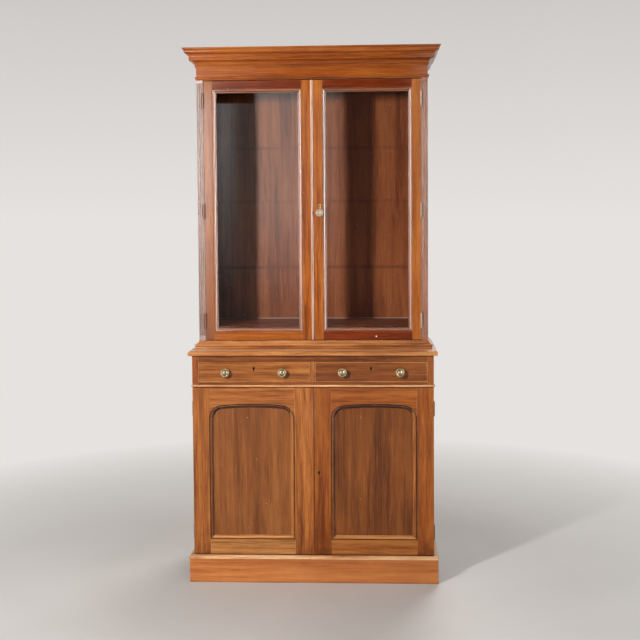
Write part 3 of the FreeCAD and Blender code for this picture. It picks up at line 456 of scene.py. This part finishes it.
# colour of the figure, and the finest layer in it
def woodFigure(tree, grain, shades, streak):
    figure = 0.0
    for layer in woodSet["layers"]:
        fine = noise(tree, grain, **layer["noise"])
        swing = times(tree, maths(tree, "SUBTRACT", fine, 0.5), layer["share"])
        figure = maths(tree, "ADD", figure, swing)
    figure = maths(tree, "ADD", times(tree, figure, streak), woodSet["figureMiddle"])
    return ramp(tree, figure, list(zip(woodSet["figureStops"], shades))), fine


# scuffs low on the cupboard stiles, lines left by shelves, a pale painted highlight along the floor
# of the case, chips, and a near-black spot beside the turn knob
def addMarks(tree, place, tone, colour, deep):
    height = put(tree, "ShaderNodeSeparateXYZ", {0: place}).outputs["Z"]
    if "scuff" in tone:
        share = times(tree, span(tree, height, *woodSet["scuffHeight"], tone["scuff"], 0.0),
                      patches(tree, place, **woodSet["scuffs"]))
        colour = tint(tree, share, colour, deep)
    for line in tone.get("lines", ()):
        away = maths(tree, "ABSOLUTE", maths(tree, "SUBTRACT", height, line["z"]))
        core = woodSet["lineCore"] * line["reach"]
        share = times(tree, span(tree, away, core, line["reach"], line["most"], 0.0),
                      patches(tree, place, **woodSet["lineBreaks"]))
        colour = tint(tree, share, colour, line["colour"])
    for mark in tone.get("marks", ()):
        away = put(tree, "ShaderNodeVectorMath", {0: place, 1: mark["place"]},
                   operation="DISTANCE").outputs["Value"]
        core = woodSet["markCore"] * mark["radius"]
        share = span(tree, away, core, mark["radius"], 1.0, 0.0)
        colour = tint(tree, share, colour, mark["colour"])
    return colour


# painted shade in corners, recesses and under overhangs, darker where the AO finds surfaces near;
# pale worn wood on the arrises, in part a painted highlight
def addShadeAndWear(tree, place, tone, colour, rounded):
    shade = put(tree, "ShaderNodeAmbientOcclusion", {"Distance": woodSet["shadeReach"]},
                samples=woodSet["shadeSamples"]).outputs["AO"]
    paintedShadeShare = span(tree, shade, *woodSet["shadeRange"], tone["shadeAmount"], 0.0)
    colour = tint(tree, paintedShadeShare, colour, woodSet["paintedShadeColour"])
    flat = put(tree, "ShaderNodeNewGeometry").outputs["Normal"]
    bend = put(tree, "ShaderNodeVectorMath", {0: rounded, 1: flat},
               operation="DOT_PRODUCT").outputs["Value"]
    arris = times(tree, span(tree, bend, *woodSet["arrisBend"]),
                  span(tree, shade, *woodSet["arrisOpen"]))
    arris = times(tree, arris, patches(tree, place, **woodSet["arrisPatches"]))
    return tint(tree, times(tree, arris, tone["wearAndHighlight"]), colour, woodSet["wornAndHighlightColour"])


def mahogany(toneName, axis):
    tone = {**polishSet, **toneSet[toneName]}
    shades = [eye(*shade) for shade in tone["figure"]]
    deep, dark = shades[:2]
    material, tree = blankMaterial(f"mahogany_{toneName}_{axis}")
    place = objectPlace(tree)
    # slow waver of the grain, then a long stretch along the board
    sway = put(tree, "ShaderNodeTexNoise", {"Vector": place, "Scale": woodSet["waverScale"]})
    swayed = put(tree, "ShaderNodeVectorMath", {0: sway.outputs[1], 1: (woodSet["waver"],) * 3,
                                                2: place}, operation="MULTIPLY_ADD").outputs[0]
    grain = alongBoard(tree, swayed, axis)
    colour, fine = woodFigure(tree, grain, shades, tone["streak"])
    # old polish, darker in broad clouds
    colour = tint(tree, patches(tree, place, **woodSet["clouds"]), colour, dark)
    # open pores, short dark flecks along the grain
    fleck = patches(tree, alongBoard(tree, place, axis), **woodSet["pores"])
    colour = tint(tree, fleck, colour, deep)
    # few pale scratches
    scratch = patches(tree, place, **woodSet["scratches"])
    colour = tint(tree, scratch, colour, woodSet["scratchColour"])
    colour = addMarks(tree, place, tone, colour, deep)
    rounded = put(tree, "ShaderNodeBevel", {"Radius": woodSet["arrisRadius"]},
                  samples=woodSet["arrisSamples"]).outputs[0]
    colour = addShadeAndWear(tree, place, tone, colour, rounded)
    # uneven gloss, the relief of grain and pores, and the waves of the polish over it
    least, most = (tone["gloss"] + step for step in woodSet["glossRange"])
    rough = patches(tree, place, **woodSet["glossPatches"], least=least, most=most)
    ridges = maths(tree, "ADD", times(tree, fine, woodSet["ridgeShare"]),
                   times(tree, fleck, woodSet["poreShare"]))
    waves = noise(tree, grain, **woodSet["filmNoise"])
    surfaceIs(tree, put(tree, "ShaderNodeBsdfPrincipled", {
        "Base Color": colour, "Roughness": rough, "Specular IOR Level": tone["shine"],
        "Normal": bump(tree, ridges, **woodSet["relief"], normal=rounded),
        "Coat Weight": tone["coat"], "Coat IOR": tone["coatIor"],
        "Coat Roughness": woodSet["coatRough"],
        "Coat Normal": bump(tree, waves, **woodSet["film"], normal=rounded)}))
    return material


woodMade = {}


def wood(toneName, axis):
    key = (toneName, axis)
    if key not in woodMade:
        woodMade[key] = mahogany(toneName, axis)
    return woodMade[key]


# which finish a face takes, by where it lies
pickSet = {
    "caseInside": 0.466,  # nearer to the middle than this, a case end shows its inner face
    "backSkin": 0.001,
    "noseDepth": 0.012,
    "drawerBead": 0.0045,
}


# 1 on the inner face of a case end
def innerFace(centre):
    return 1 if abs(centre.x) < pickSet["caseInside"] else 0


# 1 on the back boards' faces that are seen through the glass
def shownBack(centre):
    return 1 if centre.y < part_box("case_back_boards")[0].y + pickSet["backSkin"] else 0


# 1 on the rounded nose of the base board
def noseFace(centre):
    low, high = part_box("base_top_board")
    nose = pickSet["noseDepth"]
    return 1 if centre.y < low.y + nose or abs(centre.x) > high.x - nose else 0


# gives a CAD node its finishes; pick says which of them a face takes
def dress(nodeName, finishes, pick=None):
    mesh = nodes[nodeName].data
    mesh.materials.clear()
    for finish in finishes:
        mesh.materials.append(finish)
    for face in mesh.polygons:
        face.material_index = pick(face.center) if pick else 0


# stiles upright, rails across
def dressFrame(nodeName, stileWidth, leftTone, rightTone, headTone, footTone):
    low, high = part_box(nodeName)
    middle = (low.z + high.z) / 2

    def pick(centre):
        if centre.x < low.x + stileWidth:
            return 0
        if centre.x > high.x - stileWidth:
            return 1
        return 2 if centre.z > middle else 3

    stiles = [wood(leftTone, "Z"), wood(rightTone, "Z")]
    rails = [wood(headTone, "X"), wood(footTone, "X")]
    dress(nodeName, stiles + rails, pick)


# mitred lengths in a rectangle
def dressMitred(nodeName, toneName):
    low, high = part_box(nodeName)

    def pick(centre):
        upright = min(centre.x - low.x, high.x - centre.x)
        level = min(centre.z - low.z, high.z - centre.z)
        return 0 if upright < level else 1

    dress(nodeName, [wood(toneName, "Z"), wood(toneName, "X")], pick)


# front length and two returns
def dressSurround(nodeName, toneName):
    low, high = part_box(nodeName)

    def pick(centre):
        return 0 if centre.y - low.y < high.x - abs(centre.x) else 1

    dress(nodeName, [wood(toneName, "X"), wood(toneName, "Y")], pick)


# a drawer front with its thin bead all round
def dressDrawer(nodeName, toneName):
    low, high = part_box(nodeName)

    def pick(centre):
        edge = min(centre.x - low.x, high.x - centre.x, centre.z - low.z, high.z - centre.z)
        return 1 if edge < pickSet["drawerBead"] else 0

    dress(nodeName, [wood(toneName, "X"), wood("edging", "X")], pick)


# plain boards: tone and the way of the grain
boardSet = {
    "base_side_left": ("side", "Z"), "base_side_right": ("side", "Z"),
    "pilaster_left": ("pilasterPale", "Z"), "pilaster_right": ("pilaster", "Z"),
    "frieze_board": ("cornice", "X"),
    "drawer_bottom_rail": ("drawerDark", "X"), "drawer_top_rail": ("drawerDark", "X"),
    "drawer_divider": ("drawer", "Z"),
    "upper_left_meeting_bead": ("meeting", "Z"), "lower_left_meeting_bead": ("side", "Z"),
    "lower_left_panel": ("panel", "Z"), "lower_right_panel": ("panelDark", "Z"),
    "base_back_boards": ("inside", "Z"),
    "case_bottom_board": ("insideDark", "X"), "case_top_board": ("insideDark", "X"),
    "case_base_rail": ("inside", "X"), "base_bottom_board": ("inside", "X"),
    "base_shelf": ("inside", "X"), "base_shelf_bearers": ("inside", "Y"),
    "case_shelf_bearers": ("inside", "Y"), "drawer_runners": ("inside", "Y"),
    "drawer_left_box": ("inside", "Y"), "drawer_right_box": ("inside", "Y"),
}
# frames: width of the stiles, then the tones of left stile, right stile, head and foot
frameSet = {
    "upper_left_frame": (0.037, "leftStile", "frame", "redRail", "frame"),
    "upper_right_frame": (0.037, "frame", "frame", "redRail", "redRail"),
    "lower_left_frame": (0.070, "lowerFrame", "lowerFrame", "lowerFrame", "lowerFoot"),
    "lower_right_frame": (0.070, "lowerStile", "lowerFrameDark", "lowerFrameDark", "drawer"),
    # arched mouldings: painted shade on the left upright and the head, the foot in the paler edging
    # tone as painted highlight
    "lower_left_moulding": (0.020, "shadedSide", "drawer", "shadedHead", "edging"),
    "lower_right_moulding": (0.020, "shadedSide", "drawer", "shadedHead", "edging"),
}
mitredSet = {
    "upper_left_moulding": "sash", "upper_right_moulding": "sash",
    "upper_left_glazing_beads": "inside", "upper_right_glazing_beads": "inside",
}
surroundSet = {
    "cornice_moulding": "cornice", "frieze_bead": "cornice", "case_base_moulding": "edging",
    "waist_bead": "waist", "plinth_boards": "plinth", "plinth_moulding": "bright",
}
drawerSet = {"drawer_left_front": "drawer", "drawer_right_front": "drawerDark"}

for nodeName, (toneName, axis) in boardSet.items():
    dress(nodeName, [wood(toneName, axis)])
for nodeName in ("case_side_left", "case_side_right"):
    dress(nodeName, [wood("side", "Z"), wood("insideDark", "Z")], innerFace)
dress("case_back_boards", [wood("inside", "Z"), wood("backInside", "Z")], shownBack)
dress("base_top_board", [wood("topBoard", "X"), wood("edging", "X")], noseFace)
for nodeName, choice in frameSet.items():
    dressFrame(nodeName, *choice)
for nodeName, toneName in mitredSet.items():
    dressMitred(nodeName, toneName)
for nodeName, toneName in surroundSet.items():
    dressSurround(nodeName, toneName)
for nodeName, toneName in drawerSet.items():
    dressDrawer(nodeName, toneName)
print("wood dressed:", len(woodMade), "finishes")


# Brass
brassSet = {
    "knobBrass": {"bright": eye(170, 152, 118), "dull": eye(76, 62, 36),
                  "rough": 0.28, "metal": 0.75},
    "turnBrass": {"bright": eye(194, 176, 150), "dull": eye(120, 96, 74),
                  "rough": 0.42, "metal": 0.25},
    "woodBrass": {"bright": eye(124, 78, 52), "dull": eye(74, 42, 26),
                  "rough": 0.6, "metal": 0.1},
    # the right hinges pale and nearly without metal: painted highlight
    "hingeBrass": {"bright": eye(184, 156, 136), "dull": eye(140, 106, 86),
                   "rough": 0.5, "metal": 0.1},
    "darkBrass": {"bright": eye(92, 58, 34), "dull": eye(48, 28, 17),
                  "rough": 0.55, "metal": 0.4},
    "plateBrass": {"bright": eye(222, 190, 132), "dull": eye(140, 108, 60),
                   "rough": 0.32, "metal": 0.7},
    "lockBrass": {"bright": eye(84, 58, 34), "dull": eye(34, 22, 13),
                  "rough": 0.5, "metal": 0.7},
}
tarnishSet = {
    "patches": {"scale": 120.0, "low": 0.38, "high": 0.68, "detail": 4.0},
    "share": 0.7,
    "cornerReach": 0.006,
    "cornerShade": (0.45, 0.95),
    "cornerSamples": 8,
    "addedRough": 0.25,
    "dentNoise": {"scale": 420.0, "detail": 2.0},
    "dents": {"strength": 0.1, "distance": 0.0004},
}


def brass(name):
    finish = brassSet[name]
    material, tree = blankMaterial(name)
    place = objectPlace(tree)
    # dull in patches and in every corner
    shade = put(tree, "ShaderNodeAmbientOcclusion", {"Distance": tarnishSet["cornerReach"]},
                samples=tarnishSet["cornerSamples"]).outputs["AO"]
    spots = times(tree, patches(tree, place, **tarnishSet["patches"]), tarnishSet["share"])
    corners = span(tree, shade, *tarnishSet["cornerShade"], 1.0, 0.0)
    tarnish = maths(tree, "MAXIMUM", spots, corners)
    dullRough = finish["rough"] + tarnishSet["addedRough"]
    dents = noise(tree, place, **tarnishSet["dentNoise"])
    surfaceIs(tree, put(tree, "ShaderNodeBsdfPrincipled", {
        "Base Color": tint(tree, tarnish, finish["bright"], finish["dull"]),
        "Roughness": span(tree, tarnish, 0.0, 1.0, finish["rough"], dullRough),
        "Metallic": finish["metal"], "Normal": bump(tree, dents, **tarnishSet["dents"])}))
    return material


def leftOrRight(centre):
    return 0 if centre.x < 0 else 1


brassMade = {name: brass(name) for name in brassSet}
brassPieces = {
    "drawer_left_knobs": "knobBrass", "drawer_right_knobs": "knobBrass", "upper_knob": "turnBrass",
    "upper_left_hinge_leaves": "woodBrass", "upper_right_hinge_leaves": "hingeBrass",
    "lower_left_hinge_leaves": "darkBrass", "lower_right_hinge_leaves": "darkBrass",
    "lower_hinges": "darkBrass", "upper_lock": "plateBrass", "lower_lock": "lockBrass",
    "drawer_left_lock": "lockBrass", "drawer_right_lock": "lockBrass",
}
for nodeName, finishName in brassPieces.items():
    dress(nodeName, [brassMade[finishName]])
dress("upper_hinges", [brassMade["woodBrass"], brassMade["hingeBrass"]], leftOrRight)
print("brass dressed")


# Old glass: faint grey-green, a little dust, light passes to the boards behind
glassSet = {
    "tint": eye(238, 242, 240),
    "rough": 0.0,
    "ior": 1.5,
    "rippleNoise": {"scale": 7.0, "detail": 1.0},
    "ripple": {"strength": 0.02, "distance": 0.004},
    "dust": eye(198, 194, 188),
    "dustRough": 0.8,
    "specks": {"scale": 210.0, "low": 0.775, "high": 0.80, "most": 0.8, "detail": 1.0,
               "roughness": 0.3},
}


def oldGlass():
    material, tree = blankMaterial("oldGlass")
    place = objectPlace(tree)
    waves = noise(tree, place, **glassSet["rippleNoise"])
    sheet = put(tree, "ShaderNodeBsdfPrincipled", {
        "Base Color": glassSet["tint"], "Roughness": glassSet["rough"], "IOR": glassSet["ior"],
        "Transmission Weight": 1.0, "Normal": bump(tree, waves, **glassSet["ripple"])})
    dust = put(tree, "ShaderNodeBsdfPrincipled", {"Base Color": glassSet["dust"],
                                                  "Roughness": glassSet["dustRough"]})
    dusty = mixed(tree, patches(tree, place, **glassSet["specks"]), sheet, dust)
    clear = put(tree, "ShaderNodeBsdfTransparent", {"Color": glassSet["tint"]})
    path = put(tree, "ShaderNodeLightPath").outputs
    soft = mixed(tree, path["Is Diffuse Ray"], dusty, clear)
    surfaceIs(tree, mixed(tree, path["Is Shadow Ray"], soft, clear))
    return material


pane = oldGlass()
for nodeName in ("upper_left_glass", "upper_right_glass"):
    dress(nodeName, [pane])
print("glass dressed")
